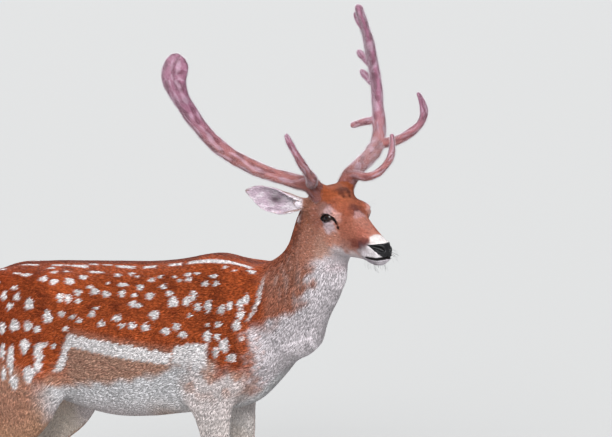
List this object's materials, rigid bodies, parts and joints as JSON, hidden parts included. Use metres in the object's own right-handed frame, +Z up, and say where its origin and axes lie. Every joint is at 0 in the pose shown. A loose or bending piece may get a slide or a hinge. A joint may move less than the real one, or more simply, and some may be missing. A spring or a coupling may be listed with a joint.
{
  "type": "fallow deer",
  "caption": "Life-size standing fallow buck in spotted summer coat, head turned to its right, with palmate antlers in velvet.",
  "frame": {"origin": "on the ground under the middle of the whole animal's box, at the level of the soles", "axes": "+X towards the animal's front, +Y to its left, +Z up"},
  "size_m": [1.272, 0.5678, 1.5467],
  "materials": {
    "coat": "short flat summer hair, chestnut with white spots, grey-brown neck, white throat and belly",
    "nose_leather": "moist pebbled black nose pad",
    "eye": "wet, very dark brown",
    "velvet": "pinkish grey-brown velvet with pale fuzzy edges",
    "horn": "dark horn with fine growth rings"
  },
  "bodies": {
    "root": {"trunk": "coat", "neck": "coat", "head": "coat", "tail": "coat", "ear_right": "coat", "ear_left": "coat", "shoulder_right": "coat", "shoulder_left": "coat", "forearm_right": "coat", "forearm_left": "coat", "cannon_fore_right": "coat", "cannon_fore_left": "coat", "thigh_right": "coat", "thigh_left": "coat", "gaskin_right": "coat", "gaskin_left": "coat", "cannon_hind_right": "coat", "cannon_hind_left": "coat", "nose": "nose_leather", "eye_right": "eye", "eye_left": "eye", "antler_right_beam": "velvet", "antler_right_palm": "velvet", "antler_right_brow_tine": "velvet", "antler_left_beam": "velvet", "antler_left_palm": "velvet", "antler_left_brow_tine": "velvet", "antler_left_trez_tine": "velvet", "antler_left_rear_tine": "velvet", "hoof_fore_right_inner": "horn", "hoof_fore_right_outer": "horn", "hoof_fore_left_inner": "horn", "hoof_fore_left_outer": "horn", "hoof_hind_right_inner": "horn", "hoof_hind_right_outer": "horn", "hoof_hind_left_inner": "horn", "hoof_hind_left_outer": "horn", "dewclaw_fore_right_inner": "horn", "dewclaw_fore_right_outer": "horn", "dewclaw_fore_left_inner": "horn", "dewclaw_fore_left_outer": "horn", "dewclaw_hind_right_inner": "horn", "dewclaw_hind_right_outer": "horn", "dewclaw_hind_left_inner": "horn", "dewclaw_hind_left_outer": "horn"}
  },
  "joints": []
}
